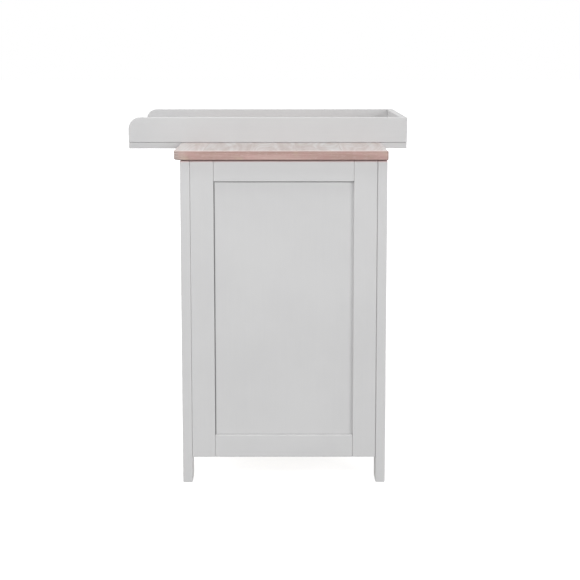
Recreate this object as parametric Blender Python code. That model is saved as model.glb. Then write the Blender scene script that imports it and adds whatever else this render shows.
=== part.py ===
# Changing dresser: a painted frame-and-panel chest of three drawers with an oak top
# and a changing tray that hooks over the front and back edges of the top.
#
# Metres, +Z up, front towards -Y. The origin is on the floor, in the middle of the
# whole object's footprint.
import math

import bmesh
import bpy
from mathutils import Vector

for old_object in list(bpy.data.objects):
    bpy.data.objects.remove(old_object, do_unlink=True)

# Fits and cuts
FIT_GAP = 0.0003
CUT_OVERRUN = 0.002

# Carcass, and the thin gap that shows between it and the top board
BODY_HEIGHT = 0.852
FLOOR_CLEARANCE = 0.068
SHADOW_GAP = 0.0018
SHADOW_REBATE_DEPTH = 0.006

# Top board
TOP_WIDTH = 1.050
TOP_DEPTH = 0.550
TOP_THICKNESS = 0.024
TOP_FRONT_OVERHANG = 0.0165
TOP_BACK_OVERHANG = 0.002
TOP_SIDE_OVERHANG = 0.008
TOP_FRONT_CORNER_RADIUS = 0.030
TOP_BACK_CORNER_RADIUS = 0.006
TOP_EDGE_RADIUS = 0.0028

# Legs
LEG_WIDTH = 0.062
LEG_THICKNESS = 0.025
LEG_EDGE_RADIUS = 0.002

# Side frames
FRAME_THICKNESS = 0.020
FRAME_SETBACK = 0.003
FRAME_EDGE_RADIUS = 0.001
STILE_WIDTH = 0.060
SIDE_TOP_RAIL_HEIGHT = 0.055
SIDE_BOTTOM_RAIL_HEIGHT = 0.059
GROOVE_DEPTH = 0.008
PANEL_THICKNESS = 0.006
PANEL_RECESS = 0.009

# Front rails
FRONT_SETBACK = 0.002
FRONT_RAIL_THICKNESS = 0.020
FRONT_TOP_RAIL_HEIGHT = 0.036

# Back rails and back panel
BACK_RAIL_THICKNESS = 0.020
BACK_TOP_RAIL_HEIGHT = 0.060
BACK_PANEL_THICKNESS = 0.004
BACK_PANEL_RECESS = 0.008

# Drawers
DRAWER_COUNT = 3
DRAWER_GAP = 0.003
DRAWER_FRONT_THICKNESS = 0.020
DRAWER_FRONT_EDGE_RADIUS = 0.0015
DRAWER_SIDE_THICKNESS = 0.012
DRAWER_EDGE_RADIUS = 0.0008
DRAWER_BACK_CLEARANCE = 0.032
DRAWER_BOX_RAISE = 0.014
DRAWER_BOX_DROP = 0.062
DRAWER_BOTTOM_THICKNESS = 0.005
DRAWER_BOTTOM_RAISE = 0.012
DRAWER_GROOVE_DEPTH = 0.006

# Finger cut-out in the upper edge of each drawer front
FINGER_CUT_WIDTH = 0.160
FINGER_CUT_DEPTH = 0.026
FINGER_SHOULDER_WIDTH = 0.034
FINGER_SHOULDER_STEPS = 7

# Drawer slides
SLIDE_SPACE = 0.013
SLIDE_END_CLEARANCE = 0.030
SLIDE_RAISE = 0.060
SLIDE_SHEET = 0.0012
CHANNEL_HEIGHT = 0.035
CHANNEL_DEPTH = 0.0092
CHANNEL_LIP = 0.0032
RUNNING_GAP = 0.0004
RACE_DEPTH = 0.0050
NECK_GAP = 0.0006
STOP_LENGTH = 0.006
STOP_HEIGHT = 0.014
STOP_REACH = 0.0076
SLIDE_SLOT_LENGTH = 0.012
SLIDE_SLOT_WIDTH = 0.0055
SLIDE_SLOT_INSET = 0.045
BATTEN_HEIGHT = 0.045

# Changing tray
TRAY_WIDTH = 0.485
TRAY_FRONT_OVERHANG = 0.147
TRAY_BACK_OVERHANG = 0.073
TRAY_RAIL_HEIGHT = 0.070
TRAY_RAIL_THICKNESS = 0.018
TRAY_CORNER_RADIUS = 0.031
TRAY_EDGE_RADIUS = 0.0024
TRAY_BOARD_THICKNESS = 0.016
TRAY_BOARD_INSET = 0.0008

# Cranked brackets that hold the tray to the back of the dresser
BRACKET_SPACING = 0.300
BRACKET_WIDTH = 0.030
BRACKET_SHEET = 0.002
BRACKET_REACH = 0.046
BRACKET_DROP = 0.060
BRACKET_HOLE_RADIUS = 0.0024
BRACKET_HOLE_SIDES = 12
BRACKET_HOLE_SHARE = 0.33

# Segments of rounded edges and arcs
SHOWN_SEGMENTS = 2
HIDDEN_SEGMENTS = 1
TOP_SEGMENTS = 3
ARC_STEPS = 8
SMOOTH_ANGLE = math.radians(35)

# Sides of the dresser, as factors of X
LEFT = -1
RIGHT = 1
SIDES = {"left": LEFT, "right": RIGHT}

# Places that several pieces share
TRAY_LENGTH = TRAY_FRONT_OVERHANG + TOP_DEPTH + TRAY_BACK_OVERHANG
TRAY_FRONT_Y = -TRAY_LENGTH / 2
TRAY_BACK_Y = TRAY_LENGTH / 2
TOP_FRONT_Y = TRAY_FRONT_Y + TRAY_FRONT_OVERHANG
TOP_BACK_Y = TOP_FRONT_Y + TOP_DEPTH
TOP_Z = BODY_HEIGHT + TOP_THICKNESS
BODY_FRONT_Y = TOP_FRONT_Y + TOP_FRONT_OVERHANG
BODY_BACK_Y = TOP_BACK_Y - TOP_BACK_OVERHANG
BODY_HALF_WIDTH = TOP_WIDTH / 2 - TOP_SIDE_OVERHANG
LEG_INNER_X = BODY_HALF_WIDTH - LEG_WIDTH
CARCASS_FRONT_Y = BODY_FRONT_Y + LEG_THICKNESS
CARCASS_BACK_Y = BODY_BACK_Y - LEG_THICKNESS
CARCASS_TOP_Z = BODY_HEIGHT - SHADOW_GAP
TOP_REST_Z = BODY_HEIGHT - FIT_GAP
FRAME_OUTER_X = BODY_HALF_WIDTH - FRAME_SETBACK
FRAME_INNER_X = FRAME_OUTER_X - FRAME_THICKNESS
OPENING_BOTTOM_Z = FLOOR_CLEARANCE + SIDE_BOTTOM_RAIL_HEIGHT
OPENING_TOP_Z = BODY_HEIGHT - FRONT_TOP_RAIL_HEIGHT


def make_material(name, colour, roughness, metallic=0.0):
    """A plain Principled material."""
    material = bpy.data.materials.new(name)
    material.use_nodes = True
    shader = material.node_tree.nodes["Principled BSDF"]
    shader.inputs["Base Color"].default_value = (*colour, 1.0)
    shader.inputs["Roughness"].default_value = roughness
    shader.inputs["Metallic"].default_value = metallic
    material.diffuse_color = (*colour, 1.0)
    return material


PAINT = make_material("grey_paint", (0.62, 0.62, 0.62), 0.45)
OAK = make_material("limed_oak", (0.60, 0.46, 0.40), 0.55)
DRAWER_PLY = make_material("drawer_ply", (0.66, 0.55, 0.40), 0.60)
BACK_BOARD = make_material("back_board", (0.58, 0.58, 0.57), 0.70)
BATTEN_WOOD = make_material("batten_pine", (0.62, 0.45, 0.27), 0.65)
STEEL = make_material("zinc_steel", (0.60, 0.61, 0.62), 0.35, 1.0)


def rectangle(low_a, high_a, low_b, high_b):
    """The corners of a rectangle, anticlockwise."""
    return [(low_a, low_b), (high_a, low_b), (high_a, high_b), (low_a, high_b)]


def corner_arc(centre_a, centre_b, radius, start_angle, steps=ARC_STEPS):
    """Points of a quarter circle that starts at start_angle and turns anticlockwise."""
    points = []
    for step in range(steps + 1):
        angle = start_angle + math.pi / 2 * step / steps
        points.append((centre_a + radius * math.cos(angle), centre_b + radius * math.sin(angle)))
    return points


PLANE_AXES = {"XY": (0, 1, 2), "YZ": (1, 2, 0), "XZ": (0, 2, 1)}


def prism_mesh(name, outline, plane, low, high):
    """A closed mesh: an outline in one plane, extruded square to it from low to high.

    Its outward corners are marked for rounding, and its inward ones stay sharp."""
    first, second, along = PLANE_AXES[plane]
    shape = bmesh.new()
    ring = []
    for a, b in outline:
        place = [0.0, 0.0, 0.0]
        place[first], place[second], place[along] = a, b, low
        ring.append(shape.verts.new(place))
    base = shape.faces.new(ring)
    step = Vector((0.0, 0.0, 0.0))
    step[along] = high - low
    raised = bmesh.ops.extrude_face_region(shape, geom=[base])["geom"]
    raised_verts = [item for item in raised if isinstance(item, bmesh.types.BMVert)]
    bmesh.ops.translate(shape, verts=raised_verts, vec=step)
    bmesh.ops.recalc_face_normals(shape, faces=shape.faces)
    weights = shape.edges.layers.float.new("bevel_weight_edge")
    for edge in shape.edges:
        if edge.calc_face_angle_signed() > SMOOTH_ANGLE:
            edge[weights] = 1.0
    mesh = bpy.data.meshes.new(name)
    shape.to_mesh(mesh)
    shape.free()
    return mesh


def place_object(name, mesh, location, material=None, parent=None):
    """Links a mesh into the scene at a world location, under its parent if it has one."""
    piece = bpy.data.objects.new(name, mesh)
    bpy.context.scene.collection.objects.link(piece)
    piece.location = Vector(location)
    if parent is not None:
        piece.parent = parent
        piece.location = Vector(location) - parent.location
    if material is not None:
        mesh.materials.append(material)
        mesh.shade_smooth()
        mesh.set_sharp_from_angle(angle=SMOOTH_ANGLE)
    return piece


def round_edges(piece, radius, segments):
    """Rounds the outward corners of a piece."""
    bevel = piece.modifiers.new("rounded_edges", "BEVEL")
    bevel.width = radius
    bevel.segments = segments
    bevel.limit_method = "WEIGHT"
    bevel.use_clamp_overlap = True


def cut(piece, cutter):
    """Cuts one solid out of a piece."""
    cutter.hide_render = True
    cutter.display_type = "WIRE"
    boolean = piece.modifiers.new(cutter.name, "BOOLEAN")
    boolean.operation = "DIFFERENCE"
    boolean.solver = "EXACT"
    boolean.object = cutter


def join(piece, addition):
    """Fuses a second solid to a piece."""
    addition.hide_render = True
    addition.display_type = "WIRE"
    boolean = piece.modifiers.new(addition.name, "BOOLEAN")
    boolean.operation = "UNION"
    boolean.solver = "EXACT"
    boolean.object = addition


def block(name, low, high, material=None, parent=None):
    """A rectangular solid between two world corners, with its origin at its centre."""
    centre = [(a + b) / 2 for a, b in zip(low, high)]
    half = [(b - a) / 2 for a, b in zip(low, high)]
    outline = rectangle(-half[0], half[0], -half[1], half[1])
    mesh = prism_mesh(name, outline, "XY", -half[2], half[2])
    return place_object(name, mesh, centre, material, parent)


def board(name, low, high, material, radius, segments, parent=None):
    """A rectangular board with rounded edges."""
    piece = block(name, low, high, material, parent)
    round_edges(piece, radius, segments)
    return piece


def groove(piece, name, low, high, parent=None):
    """Cuts a straight groove, given by its world corners, out of a piece."""
    cut(piece, block(name, low, high, parent=parent))


def span(side, near, far):
    """Low and high X of something that lies from near to far on one side."""
    return min(side * near, side * far), max(side * near, side * far)


# The back panel and the side panels lie in grooves that are one fit gap wider on
# each face than the panel.
BACK_PANEL_REAR_Y = BODY_BACK_Y - BACK_PANEL_RECESS
BACK_PANEL_FRONT_Y = BACK_PANEL_REAR_Y - BACK_PANEL_THICKNESS
SIDE_PANEL_OUTER_X = FRAME_OUTER_X - PANEL_RECESS
SIDE_PANEL_INNER_X = SIDE_PANEL_OUTER_X - PANEL_THICKNESS
BACK_OPENING_TOP_Z = BODY_HEIGHT - BACK_TOP_RAIL_HEIGHT
SIDE_OPENING_TOP_Z = BODY_HEIGHT - SIDE_TOP_RAIL_HEIGHT


def build_legs():
    """Four full-height plank legs. The back pair is grooved for the back panel."""
    for side_name, side in SIDES.items():
        x_low, x_high = span(side, LEG_INNER_X, BODY_HALF_WIDTH)
        board(
            f"leg_front_{side_name}",
            (x_low, BODY_FRONT_Y, 0.0),
            (x_high, CARCASS_FRONT_Y, CARCASS_TOP_Z),
            PAINT, LEG_EDGE_RADIUS, SHOWN_SEGMENTS,
        )
        leg = board(
            f"leg_back_{side_name}",
            (x_low, CARCASS_BACK_Y, 0.0),
            (x_high, BODY_BACK_Y, CARCASS_TOP_Z),
            PAINT, LEG_EDGE_RADIUS, SHOWN_SEGMENTS,
        )
        groove_low, groove_high = span(side, LEG_INNER_X - CUT_OVERRUN, LEG_INNER_X + GROOVE_DEPTH)
        groove(
            leg, f"leg_groove_{side_name}",
            (groove_low, BACK_PANEL_FRONT_Y - FIT_GAP, OPENING_BOTTOM_Z - GROOVE_DEPTH),
            (groove_high, BACK_PANEL_REAR_Y + FIT_GAP, BACK_OPENING_TOP_Z + GROOVE_DEPTH),
        )


def tenoned_rail(name, side, front_y, back_y, low_z, high_z):
    """A side-frame rail with a stub tenon at each end that sits in the stiles' grooves."""
    tenon_outer = SIDE_PANEL_OUTER_X
    tenon_inner = SIDE_PANEL_INNER_X
    tenon = GROOVE_DEPTH - FIT_GAP
    shoulder_front = front_y + FIT_GAP
    shoulder_back = back_y - FIT_GAP
    outline = [
        (FRAME_INNER_X, shoulder_front),
        (tenon_inner, shoulder_front),
        (tenon_inner, front_y - tenon),
        (tenon_outer, front_y - tenon),
        (tenon_outer, shoulder_front),
        (FRAME_OUTER_X, shoulder_front),
        (FRAME_OUTER_X, shoulder_back),
        (tenon_outer, shoulder_back),
        (tenon_outer, back_y + tenon),
        (tenon_inner, back_y + tenon),
        (tenon_inner, shoulder_back),
        (FRAME_INNER_X, shoulder_back),
    ]
    centre_x = side * (FRAME_INNER_X + FRAME_OUTER_X) / 2
    centre = (centre_x, (front_y + back_y) / 2, (low_z + high_z) / 2)
    local = [(side * x - centre[0], y - centre[1]) for x, y in outline]
    mesh = prism_mesh(name, local, "XY", low_z - centre[2], high_z - centre[2])
    rail = place_object(name, mesh, centre, PAINT)
    round_edges(rail, FRAME_EDGE_RADIUS, HIDDEN_SEGMENTS)
    return rail


def build_side_frame(side_name, side):
    """Two grooved stiles, two tenoned rails and a flat panel held in their grooves."""
    stile_front_y = CARCASS_FRONT_Y + FIT_GAP
    stile_back_y = CARCASS_BACK_Y - FIT_GAP
    opening_front_y = stile_front_y + STILE_WIDTH
    opening_back_y = stile_back_y - STILE_WIDTH
    x_low, x_high = span(side, FRAME_INNER_X, FRAME_OUTER_X)
    groove_x = span(side, SIDE_PANEL_INNER_X - FIT_GAP, SIDE_PANEL_OUTER_X + FIT_GAP)
    stiles = {"front": (stile_front_y, opening_front_y), "back": (opening_back_y, stile_back_y)}
    groove_y = {
        "front": (opening_front_y - GROOVE_DEPTH, opening_front_y + CUT_OVERRUN),
        "back": (opening_back_y - CUT_OVERRUN, opening_back_y + GROOVE_DEPTH),
    }
    for end, (low_y, high_y) in stiles.items():
        stile = board(
            f"side_{side_name}_{end}_stile",
            (x_low, low_y, FLOOR_CLEARANCE),
            (x_high, high_y, CARCASS_TOP_Z),
            PAINT, FRAME_EDGE_RADIUS, SHOWN_SEGMENTS,
        )
        groove(
            stile, f"stile_groove_{side_name}_{end}",
            (groove_x[0], groove_y[end][0], FLOOR_CLEARANCE - CUT_OVERRUN),
            (groove_x[1], groove_y[end][1], CARCASS_TOP_Z + CUT_OVERRUN),
        )
    rail_y = (opening_front_y, opening_back_y)
    top_rail = tenoned_rail(
        f"side_{side_name}_top_rail", side, *rail_y, SIDE_OPENING_TOP_Z, CARCASS_TOP_Z
    )
    bottom_rail = tenoned_rail(
        f"side_{side_name}_bottom_rail", side, *rail_y, FLOOR_CLEARANCE, OPENING_BOTTOM_Z
    )
    groove_low_y = opening_front_y - GROOVE_DEPTH - CUT_OVERRUN
    groove_high_y = opening_back_y + GROOVE_DEPTH + CUT_OVERRUN
    groove(
        top_rail, f"top_rail_groove_{side_name}",
        (groove_x[0], groove_low_y, SIDE_OPENING_TOP_Z - CUT_OVERRUN),
        (groove_x[1], groove_high_y, SIDE_OPENING_TOP_Z + GROOVE_DEPTH),
    )
    groove(
        bottom_rail, f"bottom_rail_groove_{side_name}",
        (groove_x[0], groove_low_y, OPENING_BOTTOM_Z - GROOVE_DEPTH),
        (groove_x[1], groove_high_y, OPENING_BOTTOM_Z + CUT_OVERRUN),
    )
    tongue = GROOVE_DEPTH - FIT_GAP
    panel_low_x, panel_high_x = span(side, SIDE_PANEL_INNER_X, SIDE_PANEL_OUTER_X)
    board(
        f"side_{side_name}_panel",
        (panel_low_x, opening_front_y - tongue, OPENING_BOTTOM_Z - tongue),
        (panel_high_x, opening_back_y + tongue, SIDE_OPENING_TOP_Z + tongue),
        PAINT, FRAME_EDGE_RADIUS, HIDDEN_SEGMENTS,
    )


def build_back():
    """Two grooved back rails and the thin panel that they hold with the back legs.

    The top board rests on the upper rail."""
    rail_half_width = LEG_INNER_X - FIT_GAP
    rail_front_y = BODY_BACK_Y - BACK_RAIL_THICKNESS
    rails = {
        "back_top_rail": (BACK_OPENING_TOP_Z, TOP_REST_Z),
        "back_bottom_rail": (FLOOR_CLEARANCE, OPENING_BOTTOM_Z),
    }
    grooves = {
        "back_top_rail": (BACK_OPENING_TOP_Z - CUT_OVERRUN, BACK_OPENING_TOP_Z + GROOVE_DEPTH),
        "back_bottom_rail": (OPENING_BOTTOM_Z - GROOVE_DEPTH, OPENING_BOTTOM_Z + CUT_OVERRUN),
    }
    for name, (low_z, high_z) in rails.items():
        rail = board(
            name,
            (-rail_half_width, rail_front_y, low_z),
            (rail_half_width, BODY_BACK_Y, high_z),
            PAINT, FRAME_EDGE_RADIUS, HIDDEN_SEGMENTS,
        )
        groove(
            rail, f"{name}_groove",
            (-rail_half_width - CUT_OVERRUN, BACK_PANEL_FRONT_Y - FIT_GAP, grooves[name][0]),
            (rail_half_width + CUT_OVERRUN, BACK_PANEL_REAR_Y + FIT_GAP, grooves[name][1]),
        )
    tongue = GROOVE_DEPTH - FIT_GAP
    board(
        "back_panel",
        (-LEG_INNER_X - tongue, BACK_PANEL_FRONT_Y, OPENING_BOTTOM_Z - tongue),
        (LEG_INNER_X + tongue, BACK_PANEL_REAR_Y, BACK_OPENING_TOP_Z + tongue),
        BACK_BOARD, DRAWER_EDGE_RADIUS, HIDDEN_SEGMENTS,
    )


def build_front_rails():
    """The rails above and below the drawers, between the front legs.

    The top board rests on the upper rail, whose front edge is rebated, so that the thin
    gap above the legs and the side frames runs on across the front."""
    rail_half_width = LEG_INNER_X - FIT_GAP
    rail_front_y = BODY_FRONT_Y + FRONT_SETBACK
    heights = {
        "front_top_rail": (OPENING_TOP_Z, TOP_REST_Z),
        "front_bottom_rail": (FLOOR_CLEARANCE, OPENING_BOTTOM_Z),
    }
    rails = {}
    for name, (low_z, high_z) in heights.items():
        rails[name] = board(
            name,
            (-rail_half_width, rail_front_y, low_z),
            (rail_half_width, rail_front_y + FRONT_RAIL_THICKNESS, high_z),
            PAINT, FRAME_EDGE_RADIUS, SHOWN_SEGMENTS,
        )
    groove(
        rails["front_top_rail"], "front_top_rail_rebate",
        (-rail_half_width - CUT_OVERRUN, rail_front_y - CUT_OVERRUN, CARCASS_TOP_Z),
        (rail_half_width + CUT_OVERRUN, rail_front_y + SHADOW_REBATE_DEPTH, BODY_HEIGHT),
    )


def build_top_board():
    """The oak top, with wide round corners at the front and small ones at the back."""
    half_width = TOP_WIDTH / 2
    half_depth = TOP_DEPTH / 2
    front_a = half_width - TOP_FRONT_CORNER_RADIUS
    front_b = -half_depth + TOP_FRONT_CORNER_RADIUS
    back_a = half_width - TOP_BACK_CORNER_RADIUS
    back_b = half_depth - TOP_BACK_CORNER_RADIUS
    outline = corner_arc(front_a, front_b, TOP_FRONT_CORNER_RADIUS, -math.pi / 2)
    outline += corner_arc(back_a, back_b, TOP_BACK_CORNER_RADIUS, 0.0, ARC_STEPS // 2)
    outline += corner_arc(-back_a, back_b, TOP_BACK_CORNER_RADIUS, math.pi / 2, ARC_STEPS // 2)
    outline += corner_arc(-front_a, front_b, TOP_FRONT_CORNER_RADIUS, math.pi)
    half_thickness = TOP_THICKNESS / 2
    mesh = prism_mesh("top_board", outline, "XY", -half_thickness, half_thickness)
    centre = (0.0, (TOP_FRONT_Y + TOP_BACK_Y) / 2, BODY_HEIGHT + half_thickness)
    top = place_object("top_board", mesh, centre, OAK)
    round_edges(top, TOP_EDGE_RADIUS, TOP_SEGMENTS)


# Drawer sizes follow the opening between the front rails and between the legs.
OPENING_HEIGHT = OPENING_TOP_Z - OPENING_BOTTOM_Z
DRAWER_FRONT_HEIGHT = (OPENING_HEIGHT - (DRAWER_COUNT + 1) * DRAWER_GAP) / DRAWER_COUNT
DRAWER_FRONT_HALF_WIDTH = LEG_INNER_X - DRAWER_GAP
DRAWER_FRONT_Y = BODY_FRONT_Y + FRONT_SETBACK
DRAWER_BOX_FRONT_Y = DRAWER_FRONT_Y + DRAWER_FRONT_THICKNESS
DRAWER_BOX_BACK_Y = BACK_PANEL_FRONT_Y - DRAWER_BACK_CLEARANCE
DRAWER_BOX_HALF_WIDTH = LEG_INNER_X - SLIDE_SPACE
DRAWER_INNER_X = DRAWER_BOX_HALF_WIDTH - DRAWER_SIDE_THICKNESS
DRAWER_SIDE_HEIGHT = DRAWER_FRONT_HEIGHT - DRAWER_BOX_RAISE - DRAWER_BOX_DROP
SLIDE_FRONT_Y = max(CARCASS_FRONT_Y, DRAWER_BOX_FRONT_Y) + FIT_GAP
SLIDE_BACK_Y = DRAWER_BOX_BACK_Y - SLIDE_END_CLEARANCE + STOP_LENGTH


def drawer_bottom_z(number):
    """Height of the lower edge of a drawer's front. Drawer 1 is the top one."""
    rank = DRAWER_COUNT - number
    return OPENING_BOTTOM_Z + DRAWER_GAP + rank * (DRAWER_FRONT_HEIGHT + DRAWER_GAP)


def drawer_front_outline():
    """Front view of a drawer front, with a smooth finger cut-out in its upper edge."""
    half_height = DRAWER_FRONT_HEIGHT / 2
    half_cut = FINGER_CUT_WIDTH / 2
    outline = [(-DRAWER_FRONT_HALF_WIDTH, -half_height), (DRAWER_FRONT_HALF_WIDTH, -half_height)]
    outline.append((DRAWER_FRONT_HALF_WIDTH, half_height))
    shoulder = []
    for step in range(FINGER_SHOULDER_STEPS + 1):
        share = step / FINGER_SHOULDER_STEPS
        drop = FINGER_CUT_DEPTH * (1 - math.cos(math.pi * share)) / 2
        shoulder.append((half_cut - FINGER_SHOULDER_WIDTH * share, half_height - drop))
    outline += shoulder
    outline += [(-x, z) for x, z in reversed(shoulder)]
    outline.append((-DRAWER_FRONT_HALF_WIDTH, half_height))
    return outline


def build_drawer(number):
    """A drawer: its front, two grooved sides, a back and a bottom in the grooves."""
    low_z = drawer_bottom_z(number)
    side_low_z = low_z + DRAWER_BOX_RAISE
    side_high_z = side_low_z + DRAWER_SIDE_HEIGHT
    slide_z = side_low_z + SLIDE_RAISE
    axis = bpy.data.objects.new(f"drawer_{number}_slide_axis", None)
    bpy.context.scene.collection.objects.link(axis)
    axis.location = (0.0, DRAWER_BOX_FRONT_Y, slide_z)

    centre_z = low_z + DRAWER_FRONT_HEIGHT / 2
    centre_y = DRAWER_FRONT_Y + DRAWER_FRONT_THICKNESS / 2
    name = f"drawer_{number}_front"
    half_front = DRAWER_FRONT_THICKNESS / 2
    mesh = prism_mesh(name, drawer_front_outline(), "XZ", -half_front, half_front)
    front = place_object(name, mesh, (0.0, centre_y, centre_z), PAINT, axis)
    round_edges(front, DRAWER_FRONT_EDGE_RADIUS, SHOWN_SEGMENTS)

    bottom_low_z = side_low_z + DRAWER_BOTTOM_RAISE
    bottom_high_z = bottom_low_z + DRAWER_BOTTOM_THICKNESS
    groove_z = (bottom_low_z - FIT_GAP, bottom_high_z + FIT_GAP)
    groove_half_width = DRAWER_INNER_X + DRAWER_GROOVE_DEPTH
    groove(
        front, f"{name}_groove",
        (-groove_half_width, DRAWER_BOX_FRONT_Y - DRAWER_GROOVE_DEPTH, groove_z[0]),
        (groove_half_width, DRAWER_BOX_FRONT_Y + CUT_OVERRUN, groove_z[1]),
        axis,
    )
    for side_name, side in SIDES.items():
        side_low_x, side_high_x = span(side, DRAWER_INNER_X, DRAWER_BOX_HALF_WIDTH)
        groove_low_x, groove_high_x = span(side, DRAWER_INNER_X - CUT_OVERRUN, groove_half_width)
        side_name = f"drawer_{number}_side_{side_name}"
        drawer_side = board(
            side_name,
            (side_low_x, DRAWER_BOX_FRONT_Y + FIT_GAP, side_low_z),
            (side_high_x, DRAWER_BOX_BACK_Y, side_high_z),
            DRAWER_PLY, DRAWER_EDGE_RADIUS, HIDDEN_SEGMENTS, axis,
        )
        groove(
            drawer_side, f"{side_name}_groove",
            (groove_low_x, DRAWER_BOX_FRONT_Y - CUT_OVERRUN, groove_z[0]),
            (groove_high_x, DRAWER_BOX_BACK_Y + CUT_OVERRUN, groove_z[1]),
            axis,
        )
    back_half_width = DRAWER_INNER_X - FIT_GAP
    board(
        f"drawer_{number}_back",
        (-back_half_width, DRAWER_BOX_BACK_Y - DRAWER_SIDE_THICKNESS, bottom_high_z + FIT_GAP),
        (back_half_width, DRAWER_BOX_BACK_Y, side_high_z),
        DRAWER_PLY, DRAWER_EDGE_RADIUS, HIDDEN_SEGMENTS, axis,
    )
    tongue = DRAWER_GROOVE_DEPTH - FIT_GAP
    board(
        f"drawer_{number}_bottom",
        (-DRAWER_INNER_X - tongue, DRAWER_BOX_FRONT_Y - tongue, bottom_low_z),
        (DRAWER_INNER_X + tongue, DRAWER_BOX_BACK_Y, bottom_high_z),
        DRAWER_PLY, DRAWER_EDGE_RADIUS, HIDDEN_SEGMENTS, axis,
    )
    for side_name, side in SIDES.items():
        build_slide(number, side_name, side, slide_z, axis)


def channel_outline():
    """Section of the cabinet channel: a web, two flanges and their turned-in lips.

    The first value runs from the batten towards the drawer, the second one upwards."""
    half = CHANNEL_HEIGHT / 2
    inner = half - SLIDE_SHEET
    lip = half - CHANNEL_LIP - SLIDE_SHEET
    upper = [
        (CHANNEL_DEPTH, half),
        (CHANNEL_DEPTH, lip),
        (CHANNEL_DEPTH - SLIDE_SHEET, lip),
        (CHANNEL_DEPTH - SLIDE_SHEET, inner),
        (SLIDE_SHEET, inner),
    ]
    lower = [(depth, -height) for depth, height in reversed(upper)]
    return [(0.0, half), *upper, *lower, (0.0, -half)]


def runner_outline():
    """Section of the drawer runner: a web, two necks and two races in the channel."""
    total = SLIDE_SPACE - 2 * FIT_GAP
    race = CHANNEL_HEIGHT / 2 - SLIDE_SHEET - RUNNING_GAP
    neck = CHANNEL_HEIGHT / 2 - CHANNEL_LIP - SLIDE_SHEET - NECK_GAP
    race_high = CHANNEL_DEPTH - SLIDE_SHEET - NECK_GAP
    race_low = race_high - RACE_DEPTH
    inside = neck - SLIDE_SHEET
    upper = [
        (total, neck),
        (race_high, neck),
        (race_high, race),
        (race_low, race),
        (race_low, inside),
        (total - SLIDE_SHEET, inside),
    ]
    lower = [(depth, -height) for depth, height in reversed(upper)]
    return [*upper, *lower]


def slot_cutter(name, side, depth_low, depth_high, y, z, parent):
    """A round-ended slot, long in Y, cut through a slide's web."""
    radius = SLIDE_SLOT_WIDTH / 2
    reach = SLIDE_SLOT_LENGTH / 2 - radius
    outline = corner_arc(reach, 0.0, radius, -math.pi / 2, 2)
    outline += corner_arc(reach, 0.0, radius, 0.0, 2)[1:]
    outline += corner_arc(-reach, 0.0, radius, math.pi / 2, 2)
    outline += corner_arc(-reach, 0.0, radius, math.pi, 2)[1:]
    x_low, x_high = span(side, LEG_INNER_X - depth_low, LEG_INNER_X - depth_high)
    half = (x_high - x_low) / 2
    mesh = prism_mesh(name, outline, "YZ", -half, half)
    return place_object(name, mesh, ((x_low + x_high) / 2, y, z), parent=parent)


def build_slide(number, side_name, side, slide_z, axis):
    """The cabinet channel on its batten, and the runner on the drawer's side.

    A tab across the channel's back end stops the runner where the drawer is shut."""
    channel_name = f"slide_{number}_{side_name}_channel"
    runner_name = f"slide_{number}_{side_name}_runner"
    face_x = LEG_INNER_X - FIT_GAP
    local_channel = [(-side * depth, height) for depth, height in channel_outline()]
    local_runner = [(-side * depth, height) for depth, height in runner_outline()]
    channel_length = SLIDE_BACK_Y - SLIDE_FRONT_Y
    runner_length = channel_length - STOP_LENGTH - FIT_GAP

    channel_mesh = prism_mesh(channel_name, local_channel, "XZ", 0.0, channel_length)
    channel = place_object(channel_name, channel_mesh, (side * face_x, SLIDE_FRONT_Y, slide_z), STEEL)
    runner_mesh = prism_mesh(runner_name, local_runner, "XZ", 0.0, runner_length)
    runner = place_object(runner_name, runner_mesh, (side * face_x, SLIDE_FRONT_Y, slide_z), STEEL, axis)

    stop_x_low, stop_x_high = span(side, face_x - SLIDE_SHEET / 2, face_x - STOP_REACH)
    join(channel, block(
        f"{channel_name}_stop",
        (stop_x_low, SLIDE_BACK_Y - STOP_LENGTH, slide_z - STOP_HEIGHT / 2),
        (stop_x_high, SLIDE_BACK_Y - STOP_LENGTH + SLIDE_SHEET, slide_z + STOP_HEIGHT / 2),
    ))

    total = SLIDE_SPACE - 2 * FIT_GAP
    slot_places = (SLIDE_FRONT_Y + SLIDE_SLOT_INSET, SLIDE_FRONT_Y + runner_length - SLIDE_SLOT_INSET)
    for place, y in enumerate(slot_places):
        cut(channel, slot_cutter(
            f"{channel_name}_slot_{place}", side, -CUT_OVERRUN, SLIDE_SHEET + CUT_OVERRUN, y, slide_z, None
        ))
        cut(runner, slot_cutter(
            f"{runner_name}_slot_{place}", side, total - SLIDE_SHEET - CUT_OVERRUN, total + CUT_OVERRUN, y,
            slide_z, axis
        ))

    batten_low_x, batten_high_x = span(side, LEG_INNER_X, FRAME_INNER_X - FIT_GAP)
    board(
        f"runner_batten_{number}_{side_name}",
        (batten_low_x, CARCASS_FRONT_Y + FIT_GAP, slide_z - BATTEN_HEIGHT / 2),
        (batten_high_x, CARCASS_BACK_Y - FIT_GAP, slide_z + BATTEN_HEIGHT / 2),
        BATTEN_WOOD, DRAWER_EDGE_RADIUS, HIDDEN_SEGMENTS,
    )


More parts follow.
